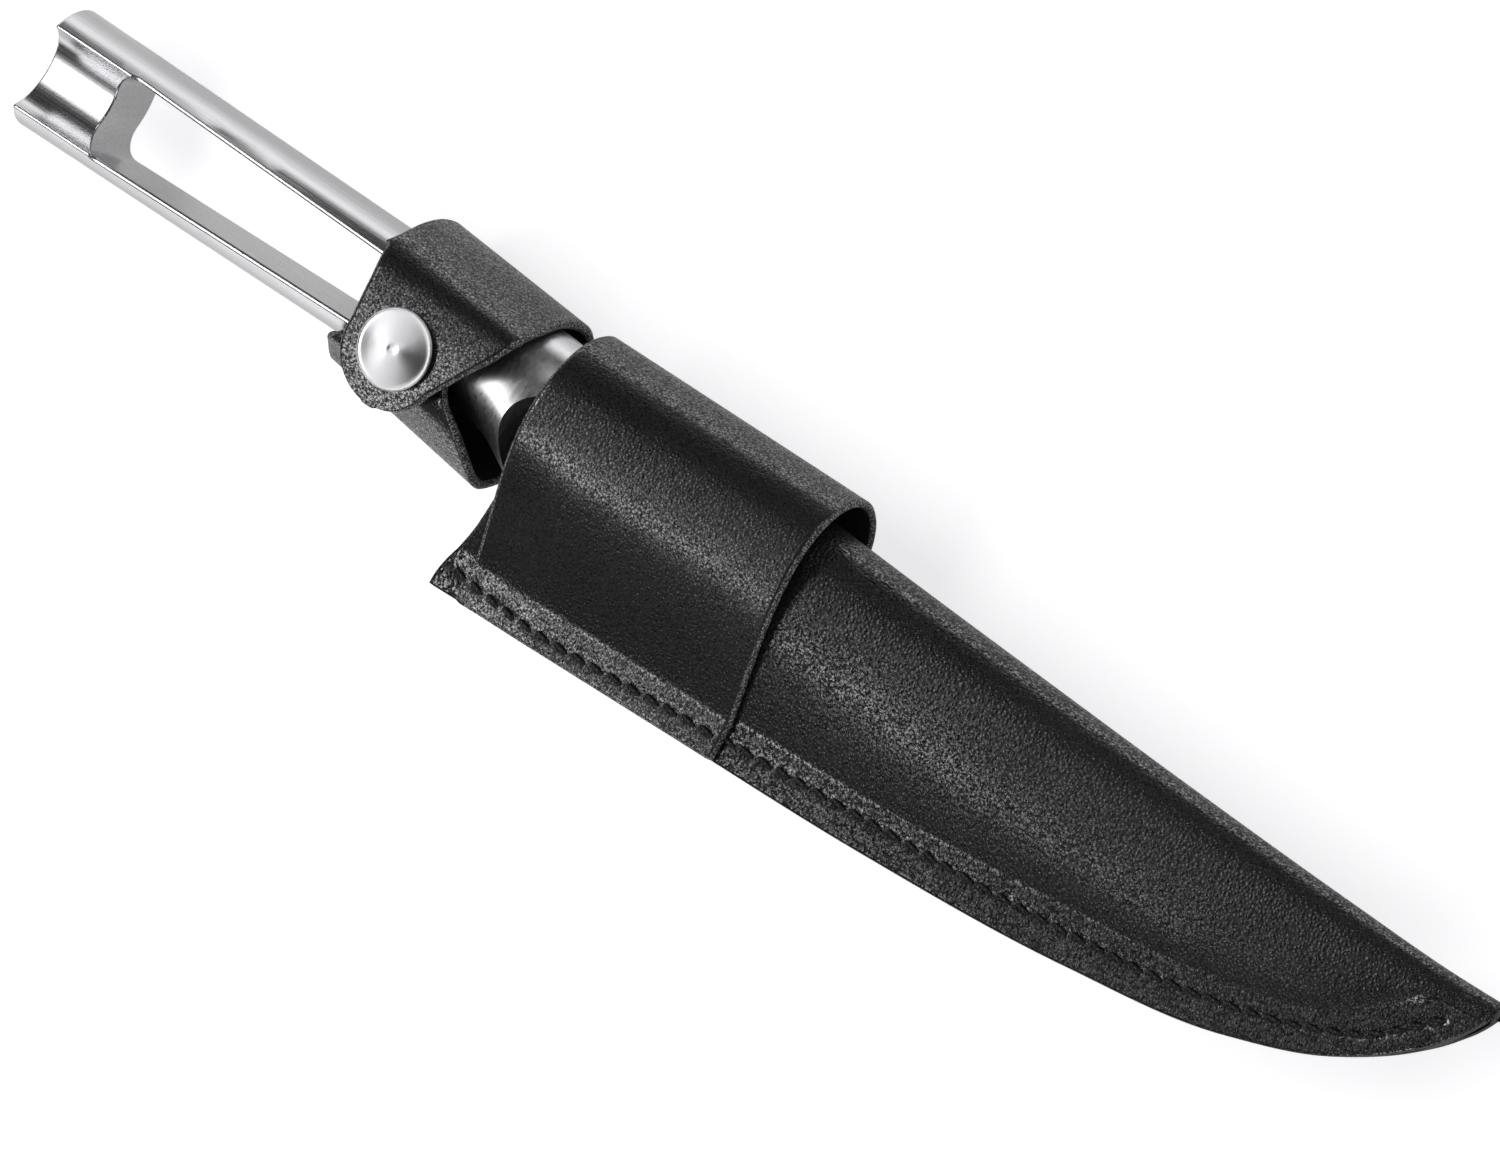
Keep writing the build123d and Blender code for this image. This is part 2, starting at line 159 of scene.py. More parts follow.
def thick_sheet(name, outer, inner, materials, swell, marks=None):
    """A closed sheet of leather between two grids of the same shape, with rounded cut edges.
    Faces of the outer grid take material 0, the cut edges 1 and the inner grid 2. The cut edges
    stand out by swell. marks holds a grid of shares for each name, one share for each point of the
    outer grid, which the leather material reads."""
    rows, columns = outer.shape[:2]
    vertices = [outer.reshape(-1, 3), inner.reshape(-1, 3)]
    faces = grid_faces(rows, columns)
    slots = [0] * len(faces)
    under = grid_faces(rows, columns, first=rows * columns, flip=True)
    faces += under
    slots += [2] * len(under)
    # The border runs once round the grid, and rim rows join its outer copy to its inner copy.
    border = ([(0, j) for j in range(columns)] + [(i, columns - 1) for i in range(1, rows)]
              + [(rows - 1, j) for j in range(columns - 2, -1, -1)]
              + [(i, 0) for i in range(rows - 2, 0, -1)])
    inside = [(min(max(i, 1), rows - 2), min(max(j, 1), columns - 2)) for i, j in border]
    out_edge = np.array([outer[b] for b in border])
    in_edge = np.array([inner[b] for b in border])
    away = out_edge - np.array([outer[b] for b in inside])
    across = out_edge - in_edge
    across /= np.maximum(np.linalg.norm(across, axis=1, keepdims=True), 1e-9)
    away -= across * np.sum(away * across, axis=1, keepdims=True)
    away /= np.maximum(np.linalg.norm(away, axis=1, keepdims=True), 1e-9)
    count, start = len(border), 2 * rows * columns
    ring = [np.array([i * columns + j for i, j in border])]
    for k in range(1, RIM_ROWS):
        t = k / RIM_ROWS
        vertices.append(out_edge * (1 - t) + in_edge * t + away * swell * math.sin(math.pi * t) ** RIM_SHAPE)
        ring.append(start + (k - 1) * count + np.arange(count))
    ring.append(ring[0] + rows * columns)
    for a, b in zip(ring, ring[1:]):
        for n in range(count):
            m = (n + 1) % count
            faces.append((int(a[n]), int(b[n]), int(b[m]), int(a[m])))
            slots.append(1)
    piece = make_object(name, np.concatenate(vertices), faces, materials, slots)
    for mark, share in (marks or {}).items():
        rim = np.tile(np.array([share[b] for b in border]), RIM_ROWS - 1)
        set_attribute(piece, mark, np.concatenate([share.ravel(), np.zeros(rows * columns), rim]))
    return piece


# ---- materials ----
class Nodes:
    """A Principled material with short calls for its texture nodes."""

    def __init__(self, name):
        self.material = bpy.data.materials.new(name)
        self.material.use_nodes = True
        self.tree = self.material.node_tree
        self.shader = self.tree.nodes["Principled BSDF"]
        self.place = self.tree.nodes.new("ShaderNodeTexCoord").outputs["Object"]

    def set(self, **values):
        for key, value in values.items():
            self.shader.inputs[key.replace("_", " ")].default_value = value

    def link(self, output, socket):
        self.tree.links.new(output, self.shader.inputs[socket])

    def new(self, kind, settings=(), **inputs):
        """A node with its settings and inputs. An input is named, or numbered as in _0."""
        node = self.tree.nodes.new(kind)
        for key, value in dict(settings).items():
            setattr(node, key, value)
        for key, value in inputs.items():
            socket = node.inputs[int(key[1:])] if key[1:].isdigit() else node.inputs[key.replace("_", " ")]
            if isinstance(value, bpy.types.NodeSocket):
                self.tree.links.new(value, socket)
            else:
                socket.default_value = value
        return node

    def stretched(self, scale):
        """The place in the object, scaled on each axis."""
        return self.new("ShaderNodeMapping", Vector=self.place, Scale=scale).outputs[0]

    def noise(self, scale, detail=3.0, rough=0.5, vector=None):
        return self.new("ShaderNodeTexNoise", Vector=vector or self.place, Scale=scale, Detail=detail,
                        Roughness=rough).outputs["Fac"]

    def cells(self, scale, feature="DISTANCE_TO_EDGE", vector=None):
        node = self.new("ShaderNodeTexVoronoi", {"feature": feature}, Vector=vector or self.place,
                        Scale=scale)
        if feature == "SMOOTH_F1":
            node.inputs["Smoothness"].default_value = 0.2
        return node.outputs["Distance"]

    def map(self, value, low, high, to_low=0.0, to_high=1.0):
        """value carried from the range low to high over to the range to_low to to_high."""
        return self.new("ShaderNodeMapRange", Value=value, From_Min=low, From_Max=high, To_Min=to_low,
                        To_Max=to_high).outputs[0]

    def math(self, operation, a, b=0.0):
        return self.new("ShaderNodeMath", {"operation": operation}, _0=a, _1=b).outputs[0]

    def mix(self, factor, a, b):
        """Colour a where factor is 0 and b where it is 1."""
        node = self.new("ShaderNodeMix", {"data_type": "RGBA"})
        for socket, value in ((node.inputs[0], factor), (node.inputs[6], a), (node.inputs[7], b)):
            if isinstance(value, bpy.types.NodeSocket):
                self.tree.links.new(value, socket)
            else:
                socket.default_value = value
        return node.outputs[2]

    def bump(self, height, distance):
        return self.new("ShaderNodeBump", Height=height, Distance=distance).outputs[0]

    def point(self, attribute):
        return self.new("ShaderNodeAttribute", {"attribute_name": attribute}).outputs["Fac"]


def grey(value):
    """A grey that is a very little blue."""
    return (value, value, value * 1.02, 1.0)


GRAIN_BEND = 0.0006             # metres by which the pebbles are pushed out of true
PRESSED_DEPTH = 1.9             # of the grain on the flange, against that on the rest


def leather(name, grain=1500.0, depth=0.00011, gloss=(0.46, 0.59), pressed=False):
    """Black grained leather: pebbles 1 / grain metres across and depth metres high, creases painted
    darker as painted shade, broad tonal drift. gloss is the range of a noise over which the pebbles
    turn from dull to polished. pressed is for a piece that has the attributes pressed and seam."""
    m = Nodes(name)
    warp = m.new("ShaderNodeTexNoise", Vector=m.place, Scale=grain * 0.3, Detail=2.0).outputs["Color"]
    bent = m.new("ShaderNodeVectorMath", {"operation": "MULTIPLY_ADD"}, _0=warp,
                 _1=(GRAIN_BEND, GRAIN_BEND, GRAIN_BEND), _2=m.place).outputs[0]
    domes = m.map(m.cells(grain, "SMOOTH_F1", bent), 0.0, 0.75, 1.0, 0.0)
    edges = m.map(m.cells(grain, vector=bent), 0.0, 0.16)
    fine = m.noise(grain * 2.6, 3.0, 0.6)
    height = m.math("ADD", domes, m.math("MULTIPLY", fine, 0.15))
    drift = m.noise(26.0, 3.0)
    shade = m.mix(m.map(drift, 0.3, 0.7), grey(0.004), grey(0.007))
    # Painted shade: the creases between the pebbles are painted darker than the leather's own tone.
    m.link(m.mix(edges, grey(0.0015), shade), "Base Color")
    lift = m.noise(grain * 0.9, 2.0, 0.7)
    rough = m.math("ADD", m.map(lift, 0.35, 0.65, 0.16, 0.36), m.map(drift, 0.3, 0.7, -0.03, 0.05))
    rough = m.math("ADD", rough, m.map(edges, 0.0, 1.0, 0.35, 0.0))
    m.link(rough, "Roughness")
    if pressed:
        metres = m.map(m.point("pressed"), 0.0, 1.0, depth, depth * PRESSED_DEPTH)
        m.link(m.bump(m.math("MULTIPLY", height, metres), 1.0), "Normal")
    else:
        m.link(m.bump(height, depth), "Normal")
    # The finish is polished on the tops of some pebbles, and dull between them and along the seam.
    tops = m.math("MULTIPLY", m.map(m.noise(grain * 1.25, 1.0, 0.5, bent), *gloss), edges)
    if pressed:
        tops = m.math("MULTIPLY", tops, m.map(m.point("seam"), 0.1, 0.75, 1.0, 0.0))
    m.link(tops, "Coat Weight")
    m.set(Specular_IOR_Level=0.38, Coat_IOR=2.1, Coat_Roughness=0.21)
    return m.material


def cut_edge(name, light):
    """Raw cut edge of dyed leather: matt fibre with specks as pale as light."""
    m = Nodes(name)
    fibre = m.noise(5200.0, 3.0, 0.7)
    specks = m.map(m.cells(2600.0, "F1"), 0.15, 0.6, 1.0, 0.0)
    pale = m.math("MULTIPLY", specks, m.map(fibre, 0.42, 0.56))
    m.link(m.mix(pale, grey(0.02), grey(light)), "Base Color")
    m.link(m.map(fibre, 0.3, 0.7, 0.5, 0.85), "Roughness")
    m.link(m.bump(m.math("ADD", fibre, specks), 0.00012), "Normal")
    m.set(Specular_IOR_Level=0.55)
    return m.material


def suede(name):
    """Flesh side of the leather, inside the sheath and the strap."""
    m = Nodes(name)
    nap = m.noise(2600.0, 5.0, 0.7)
    m.link(m.mix(nap, grey(0.008), grey(0.028)), "Base Color")
    m.link(m.bump(nap, 0.00012), "Normal")
    m.set(Roughness=0.9, Specular_IOR_Level=0.2)
    return m.material


def waxed_thread(name):
    m = Nodes(name)
    plies = m.noise(4200.0, 3.0, 0.6)
    m.link(m.mix(plies, grey(0.002), grey(0.008)), "Base Color")
    m.link(m.map(plies, 0.3, 0.7, 0.32, 0.55), "Roughness")
    m.link(m.bump(plies, 0.00006), "Normal")
    return m.material


SCRATCH_DEPTH = 0.000005        # metres
RING_DEPTH = 0.000004


def brushed_steel(name, stretch, rough, shade):
    """Steel with fine scratches: stretch is small along the direction of the brushing."""
    m = Nodes(name)
    lines = m.noise(1.0, 4.0, 0.65, m.stretched(stretch))
    cloud = m.noise(60.0, 2.0)
    m.link(m.mix(m.map(lines, 0.3, 0.7), grey(shade * 0.9), grey(shade * 1.08)), "Base Color")
    wobble = m.math("ADD", m.map(lines, 0.3, 0.7, rough - 0.05, rough + 0.07),
                    m.map(cloud, 0.3, 0.7, -0.02, 0.02))
    m.link(wobble, "Roughness")
    m.link(m.bump(lines, SCRATCH_DEPTH), "Normal")
    m.set(Metallic=1.0)
    return m.material


def turned_steel(name, centre):
    """Steel turned on a lathe about an upright axis through centre: rings instead of lines."""
    m = Nodes(name)
    spot = place(centre)
    moved = m.new("ShaderNodeVectorMath", {"operation": "SUBTRACT"}, _0=m.place,
                  _1=tuple(spot)).outputs[0]
    flat = m.new("ShaderNodeVectorMath", {"operation": "MULTIPLY"}, _0=moved, _1=(1, 1, 0)).outputs[0]
    radius = m.new("ShaderNodeVectorMath", {"operation": "LENGTH"}, _0=flat).outputs["Value"]
    rings = m.new("ShaderNodeTexNoise", {"noise_dimensions": "1D"}, W=radius, Scale=9000.0,
                  Detail=3.0).outputs["Fac"]
    m.link(m.mix(m.map(rings, 0.3, 0.7), grey(0.50), grey(0.62)), "Base Color")
    m.link(m.map(rings, 0.3, 0.7, 0.3, 0.42), "Roughness")
    m.link(m.bump(rings, RING_DEPTH), "Normal")
    around = m.new("ShaderNodeVectorMath", {"operation": "CROSS_PRODUCT"}, _0=(0, 0, 1), _1=flat)
    m.link(around.outputs[0], "Tangent")
    m.set(Metallic=1.0, Anisotropic=0.85)
    return m.material


shell_leather = leather("sheath_leather", pressed=True)
band_leather = leather("band_leather", grain=1650.0, depth=0.00007, gloss=(0.38, 0.66), pressed=True)
strap_leather = leather("strap_leather", grain=1700.0, depth=0.00007, gloss=(0.40, 0.65))
edge_leather = cut_edge("cut_edge", light=0.8)
burnished = cut_edge("burnished_edge", light=0.2)
flesh = suede("flesh_side")
thread = waxed_thread("waxed_thread")
bar_steel = brushed_steel("bar_steel", (25.0, 2600.0, 2600.0), rough=0.25, shade=0.55)
blade_steel = brushed_steel("blade_steel", (2200.0, 30.0, 2200.0), rough=0.32, shade=0.66)
snap_steel = turned_steel("snap_steel", SNAP)

# ---- sheath ----
# Curves along X, as (x, value) points: the height Y of the spine, the half thickness of the bulge,
# and the heights Y of the crease beside the flange and of the flange's outer edge.
SPINE = [(108, 13.6), (119.5, 13.4), (150, 11.2), (182, 9.3), (225, 7.3), (262, 5.8), (296, 4.8),
         (319, 4.5), (331, 4.9)]
BULGE = [(108, 13.6), (119.5, 13.5), (150, 11.5), (182, 9.4), (225, 7.6), (262, 6.2), (296, 4.9),
         (319, 3.9), (331, 3.2)]
CREASE = [(104, -32.0), (119.5, -31.3), (175, -29.2), (212, -27.4), (249, -23.8), (284, -18.8),
          (305, -11.8), (315, -4.5), (319, -1.2), (322, 2.0), (331, 3.0)]
OUTER_EDGE = [(108, -39.8), (114.8, -39.5), (165, -37.8), (210, -36.3), (255, -32.6), (288, -26.8),
              (310, -17.8), (319, -11.4), (325, -5.6), (329, -0.2), (331.0, 4.0)]


THROAT_SLANT = [(-41, 6.6), (-37.2, 6.5), (-24.9, 2.6), (-15, 0.0), (40, 0.0)]      # (y, shift)
THROAT_RUN = 30.0               # mm over which the slant dies out
ARC_SHARE, FLAT_SHARE = 0.42, 0.2       # of a section's points, on the spine's fold and the flange
FOLD_REACH = 1.1                # of the spine's fold, against the bulge's half thickness
CREASE_SLOPE = -0.35


def throat_shift(y):
    """How far the slanted throat lies before the straight one at height y."""
    return curve_at(THROAT_SLANT, y)


def fold_section(top, side, crease, low, edge, count):
    """(Y, Z) points from the spine's fold over the bulge to the crease and out to the sewn edge."""
    arc = int(count * ARC_SHARE)
    flat = int(count * FLAT_SHARE)
    slope = count - arc - flat
    angle = np.linspace(0, math.pi / 2, arc, endpoint=False)
    reach = FOLD_REACH * side
    crest = top - reach
    points = [np.stack([crest + reach * np.cos(angle), side * np.sin(angle)], 1)]
    t = np.linspace(0, 1, slope, endpoint=False)
    run = crest - crease
    end_slope = CREASE_SLOPE * run
    height = (side * (1 + 2 * t) * (1 - t) ** 2 + low * t * t * (3 - 2 * t)
              + end_slope * t * t * (t - 1))
    points.append(np.stack([crest - run * t, np.maximum(height, low)], 1))
    t = np.linspace(0, 1, flat)
    points.append(np.stack([crease + (edge - crease) * t, np.full(flat, low)], 1))
    return np.concatenate(points)


def folded_grid(stations, sizes, half_count, slant):
    """Rows of sections along X: back edge, back, spine, front, front edge.
    sizes(x) gives (top, front side, back side, crease, low, edge) of the section at x. slant is 1
    for a piece with the slanted throat and 0 for a straight one."""
    rows = []
    for x in stations:
        top, front_side, back_side, crease, low, edge = sizes(x)
        front = fold_section(top, front_side, crease, low, edge, half_count)
        back = fold_section(top, back_side, crease, low, edge, half_count)
        back[:, 1] *= -1
        loop = np.concatenate([back[::-1], front[1:]])
        shift = throat_shift(loop[:, 0]) * (1 - ramp(x, BAND_START, BAND_START + THROAT_RUN)) * slant
        rows.append(np.column_stack([x - shift, loop]))
    return np.array(rows)


# The stitch line, (x, y).
SEAM = [(115.5, -34.8), (125, -35.6), (171, -33.5), (207, -31.0), (245, -28.2), (283, -22.8),
        (301, -17.4), (312, -12.2), (323.6, -2.0)]


def seam_points():
    """Middle of each edge stitch, evenly spaced, the seam's direction there, and the seam's line."""
    x = np.linspace(SEAM[0][0], SEAM[-1][0], 1200)
    line = np.column_stack([x, curve_at(SEAM, x)])
    run = np.concatenate([[0], np.cumsum(np.linalg.norm(np.diff(line, axis=0), axis=1))])
    count = int(run[-1] / PITCH)
    at = (np.arange(count) + 0.5) * run[-1] / count
    middle = np.column_stack([np.interp(at, run, line[:, k]) for k in (0, 1)])
    ahead = np.column_stack([np.interp(at + 0.5, run, line[:, k]) for k in (0, 1)])
    along = ahead - middle
    return middle, along / np.linalg.norm(along, axis=1, keepdims=True), line


stitch_middles, stitch_alongs, seam_line = seam_points()


GROOVE_REACH, HOLE_REACH = 0.8, 1.1
GROOVE_DEPTH = 0.35
BATCH = 4000                    # points measured at a time, to spare memory


def press_seam(grid):
    """Sinks the leather along the stitch line, a little more at each stitch. Returns the grid and
    how near each point is to a stitch, or, with a smaller share, to the line."""
    flat = grid.reshape(-1, 3)
    near = np.where(flat[:, 1] < curve_at(CREASE, flat[:, 0]) + 3)[0]
    line_share, hole_share = np.zeros(len(flat)), np.zeros(len(flat))
    for start in range(0, len(near), BATCH):
        part = near[start:start + BATCH]
        to_line = np.linalg.norm(flat[part, None, :2] - seam_line[None, ::6], axis=2).min(1)
        to_hole = np.linalg.norm(flat[part, None, :2] - stitch_middles[None], axis=2).min(1)
        line_share[part] = np.exp(-(to_line / GROOVE_REACH) ** 2)
        hole_share[part] = np.exp(-(to_hole / HOLE_REACH) ** 2)
    flat[:, 2] -= np.sign(flat[:, 2]) * line_share * (0.65 + 0.35 * hole_share) * GROOVE_DEPTH
    return grid, np.maximum(0.55 * line_share, hole_share).reshape(grid.shape[:2])


def flange_share(grid):
    """1 on the flat flange outside the crease, 0 on the bulge."""
    gap = curve_at(CREASE, grid[..., 0]) - grid[..., 1]
    return ramp(gap, -0.6, 0.8)


def shell_sizes(inset):
    """The sizes function of a face that lies inset below the sheath's outer face."""
    def sizes(x):
        top = float(curve_at(SPINE, x)) - inset
        side = float(curve_at(BULGE, x)) - inset
        low = FLANGE_HALF - inset
        edge = float(curve_at(OUTER_EDGE, x))
        # At the tip the crease keeps clear of the spine's fold and of the outer edge.
        crease = min(float(curve_at(CREASE, x)), top - FOLD_REACH * side - 0.4)
        crease = max(crease, edge + 0.3)
        return top, max(side, low), max(side, low), crease, low, edge
    return sizes


SHELL_POINTS, BAND_POINTS, STEM_POINTS = 80, 90, 90     # across half a section, or the stem's width
# Runs of sections along X, (start, end, count), closer together as the sheath narrows to its tip.
SHELL_STATIONS = [(BAND_START, 300, 230), (300.5, 324, 46), (324.3, TIP_X - 0.15, 26)]
BAND_STATIONS = 100


def make_shell():
    stations = np.concatenate([np.linspace(*run) for run in SHELL_STATIONS])
    outer = folded_grid(stations, shell_sizes(0), SHELL_POINTS, slant=1)
    inner = folded_grid(stations, shell_sizes(LEATHER), SHELL_POINTS, slant=1)
    pressed = flange_share(outer)
    outer, seam = press_seam(outer)
    piece = thick_sheet("sheath_leather_body", outer, inner, [shell_leather, burnished, flesh],
                        swell=0.25, marks={"pressed": pressed, "seam": seam})
    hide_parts("sheath_shell")
    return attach(piece, "sheath")


def band_lift(x):
    """How far the band stands on the sheath's flange: skived thin at the throat."""
    return 0.25 + 1.2 * ramp(x, BAND_START + 2, BAND_START + 16)


def band_sizes(inset):
    """The sizes function of a face that lies inset below the band's outer face."""
    def sizes(x):
        t = (x - BAND_START) / (BAND_END - BAND_START)
        top = 15.4 + 0.7 * t - inset
        front = 15.3 - 2.1 * t - inset
        back = 15.3 - inset
        low = FLANGE_HALF + band_lift(x) * (1 - inset / BAND_LEATHER)
        crease = float(curve_at(CREASE, x)) - 0.6
        edge = float(curve_at(OUTER_EDGE, x)) + 0.5
        return top, front, back, crease, low, edge
    return sizes


def make_band():
    stations = np.linspace(BAND_START, BAND_END, BAND_STATIONS)
    outer = folded_grid(stations, band_sizes(0), BAND_POINTS, slant=0)
    inner = folded_grid(stations, band_sizes(BAND_LEATHER), BAND_POINTS, slant=0)
    pressed = flange_share(outer)
    outer, seam = press_seam(outer)
    piece = thick_sheet("throat_band_leather", outer, inner, [band_leather, edge_leather, flesh],
                        swell=0.6, marks={"pressed": pressed, "seam": seam})
    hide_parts("throat_band")
    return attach(piece, "sheath")


def stitch_mesh(length, radius, sides=10, rings=17, turns=1.6, sag=0.35):
    """A short two-ply twisted thread along +X that dives at both ends."""
    vertices = []
    for i in range(rings):
        t = i / (rings - 1) * 2 - 1
        thin = math.sqrt(max(1 - abs(t) ** 6, 0.03))
        for j in range(sides):
            angle = 2 * math.pi * j / sides
            lobe = 1 + 0.2 * math.cos(2 * (angle - math.pi * turns * t))
            r = radius * thin * lobe
            drop = -sag * abs(t) ** 3
            vertices.append((t * length / 2, r * math.cos(angle), r * math.sin(angle) + drop))
    return np.array(vertices), capped(grid_faces(rings, sides, close=True), rings, sides)


def stitch_row(name, middles, alongs, heights, up, slant, length, radius):
    """Stitches at middles, along alongs turned by slant degrees. up is 1 on a face that looks
    towards the front and -1 on one that looks to the back."""
    base, base_faces = stitch_mesh(length, radius)
    vertices, faces = [], []
    for (x, y), (ax, ay), z in zip(middles, alongs, heights):
        turn = math.atan2(ay, ax) + math.radians(slant) * up
        c, s = math.cos(turn), math.sin(turn)
        first = len(vertices) * len(base)
        moved = np.column_stack([x + base[:, 0] * c - base[:, 1] * s,
                                 y + base[:, 0] * s + base[:, 1] * c, z + base[:, 2] * up])
        vertices.append(moved)
        faces += [tuple(first + k for k in (f if up > 0 else f[::-1])) for f in base_faces]
    piece = make_object(name, np.concatenate(vertices), faces, [thread])
    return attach(piece, "sheath")


THREAD_SUNK = 0.1               # mm that the middle of a stitch lies below the leather's face
SECOND_PASS = np.array([0.225, 0.75])       # mm between a stitch and the one sewn over it


def make_edge_stitches():
    count = len(stitch_middles)
    over_band = (stitch_middles[:, 0] > BAND_START) & (stitch_middles[:, 0] < BAND_END + 1)
    height = FLANGE_HALF - THREAD_SUNK + over_band * band_lift(stitch_middles[:, 0])
    # The seam is locked at the tip by sewing its last stitches twice.
    twice = np.concatenate([np.arange(count), [-2, -1]])
    middles = stitch_middles[twice]
    middles[count:] -= SECOND_PASS
    for side, name in ((1, "front"), (-1, "back")):
        row = stitch_row(f"edge_thread_{name}", middles, stitch_alongs[twice], side * height[twice],
                         side, STITCH_SLANT, STITCH_LENGTH, THREAD_R)
        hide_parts(f"{name}_stitches")


# ---- strap ----
CROWDING = 1.6


def path_points(points, count, crowd):
    """A smooth path through points, read at count points that crowd towards its end, where crowd
    is 1, or towards its start, where it is -1."""
    points = np.array(points, float)
    run = np.concatenate([[0], np.cumsum(np.linalg.norm(np.diff(points, axis=0), axis=1))])
    fine = np.linspace(0, run[-1], 40 * len(points))
    curve = np.column_stack([curve_at(np.column_stack([run, points[:, k]]), fine)
                             for k in range(points.shape[1])])
    length = np.concatenate([[0], np.cumsum(np.linalg.norm(np.diff(curve, axis=0), axis=1))])
    share = np.linspace(0, 1, count)
    share = 1 - (1 - share) ** CROWDING if crowd > 0 else share ** CROWDING
    at = share * length[-1]
    return np.column_stack([np.interp(at, length, curve[:, k]) for k in range(points.shape[1])])


def low_y_at(x):
    """Height Y at which the strap turns round the handle's edge side."""
    return -15.2 - 5.0 * (x - STRAP_START) / (STRAP_END - STRAP_START)


def high_y_at(x):
    """Height Y at which it turns round the spine side."""
    return 16.4 - 2.7 * (x - STRAP_START) / (STRAP_END - STRAP_START)


def upper_path(x):
    """(Y, Z) points of the upper arm's outer face, from the stem over the spine side to its end."""
    high = high_y_at(x)
    return [(-1, REST_Z), (2.5, REST_Z), (6, REST_Z), (high - 2.6, -12.2), (high, -2.0),
            (high - 1.9, 8.0), (8.3, 15.7), (3, 17.7), (-4, 18.2), (-10, 18.0), (-15.4, 17.15)]


def lower_path(x):
    """(Y, Z) points of the lower arm's outer face, from its end round the edge side to the stem."""
    low = low_y_at(x)
    return [(4.2, 14.3), (-4, 14.4), (-9.5, 13.7), (low + 3.5, 8.8), (low - 0.9, 0.0), (low, -6.0),
            (low + 3.4, -13.2), (-6, REST_Z), (-3.5, REST_Z), (-1, REST_Z)]


def circle_through(a, b, c):
    """Centre and radius of the circle through three points."""
    rows = 2 * np.array([[b[0] - a[0], b[1] - a[1]], [c[0] - a[0], c[1] - a[1]]])
    sides = np.array([b[0] ** 2 + b[1] ** 2 - a[0] ** 2 - a[1] ** 2,
                      c[0] ** 2 + c[1] ** 2 - a[0] ** 2 - a[1] ** 2])
    centre = np.linalg.solve(rows, sides)
    return centre[0], centre[1], math.dist(centre, a)


# The round ends of the two arms, seen from the front.
UPPER_ROUND = circle_through((82.2, -4.0), (92.0, -15.4), (101.4, -8.2))
LOWER_ROUND = circle_through((85.0, 1.0), (92.6, 4.2), (100.0, 0.0))
SMALLEST_CHORD = 1.2            # mm squared, so that the last column of a round end keeps a width


def half_chord(round_end, y):
    """Half the width of a round end at height y."""
    return np.sqrt(np.maximum(round_end[2] ** 2 - (y - round_end[1]) ** 2, SMALLEST_CHORD))


def upper_width(y, z):
    """Ends along X of the strap's upper part at each point (y, z) of its path."""
    over = z > 14.0
    low = np.where(over & (y < -4.0), UPPER_ROUND[0] - half_chord(UPPER_ROUND, y),
                   curve_at([(-40, 82.2), (-4, 82.2), (5, 81.2), (9.6, 80), (40, 80)], y))
    low = np.where(over, low, 75.0 + 5.0 * ramp(y, 3.0, 13.0))
    high = np.where(y < -8.2, UPPER_ROUND[0] + half_chord(UPPER_ROUND, y),
                    curve_at([(-8.2, 101.4), (-1.5, 105.5), (5, 109.3), (9.6, 111), (40, 111)], y))
    return low, np.where(over, high, STRAP_END)


def lower_width(y, z):
    """The same for its lower part."""
    over = z > 3.0
    low = np.where(y > 1.0, LOWER_ROUND[0] - half_chord(LOWER_ROUND, y),
                   curve_at([(-40, 75), (-19, 75), (-15, 75.6), (-6, 81.5), (1, 85)], y))
    high = np.where(y > 0.0, LOWER_ROUND[0] + half_chord(LOWER_ROUND, y),
                    curve_at([(-40, 111), (-19, 111), (-15, 110.4), (-8, 103.5), (0, 100)], y))
    return np.where(over, low, STRAP_START), np.where(over, high, STRAP_END)


def strap_sheet(name, path, width, crowd, columns=150, rows=46):
    """One arm of the strap: sections along X that follow path(x), inside width(y, z)."""
    ends = [path_points(path(x), columns, crowd) for x in (STRAP_START, STRAP_END)]
    middle = (ends[0] + ends[1]) / 2
    low, high = width(middle[:, 0], middle[:, 1])
    share = np.linspace(0, 1, rows)[:, None]
    x = low + (high - low) * share
    part = ((x - STRAP_START) / (STRAP_END - STRAP_START))[..., None]
    across = ends[0][None] * (1 - part) + ends[1][None] * part
    outer = np.concatenate([x[..., None], across], axis=2)
    outer[..., 2] = np.maximum(outer[..., 2], REST_Z)
    section = np.gradient(across, axis=1)
    normal = np.stack([np.zeros_like(x), -section[..., 1], section[..., 0]], axis=2)
    normal /= np.linalg.norm(normal, axis=2, keepdims=True)
    inner = outer + normal * STRAP_LEATHER
    return thick_sheet(name, outer, inner, [strap_leather, edge_leather, flesh], swell=0.55)


def make_strap():
    upper = strap_sheet("strap_upper_arm", upper_path, upper_width, 1)
    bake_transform(upper)
    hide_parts("upper_flap")
    lower = strap_sheet("strap_lower_arm", lower_path, lower_width, -1)
    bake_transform(lower)
    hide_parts("lower_flap")


STEM_LOW, STEM_HIGH = -11.0, 9.0
STEM_ROUND = 6.0                # radius of its two corners
STEM_FLARE, FLARE_RUN = 2.4, 6.0
SEW_BOX = [(126.0, -8.0), (154.0, -8.0), (154.0, 6.0), (126.0, 6.0)]
SEW_R = 0.27
SEW_LENGTH = 3.1
CHANNEL_DEPTH, CHANNEL_REACH = 0.5, 0.6


def sew_points():
    """Middle and direction of each stitch of the box that holds the stem."""
    middles, alongs = [], []
    for a, b in zip(SEW_BOX, SEW_BOX[1:] + SEW_BOX[:1]):
        a, b = np.array(a), np.array(b)
        count = round(np.linalg.norm(b - a) / PITCH)
        along = (b - a) / np.linalg.norm(b - a)
        for j in range(count):
            middles.append(a + (b - a) * (j + 0.5) / count)
            alongs.append(along)
    return np.array(middles), np.array(alongs)


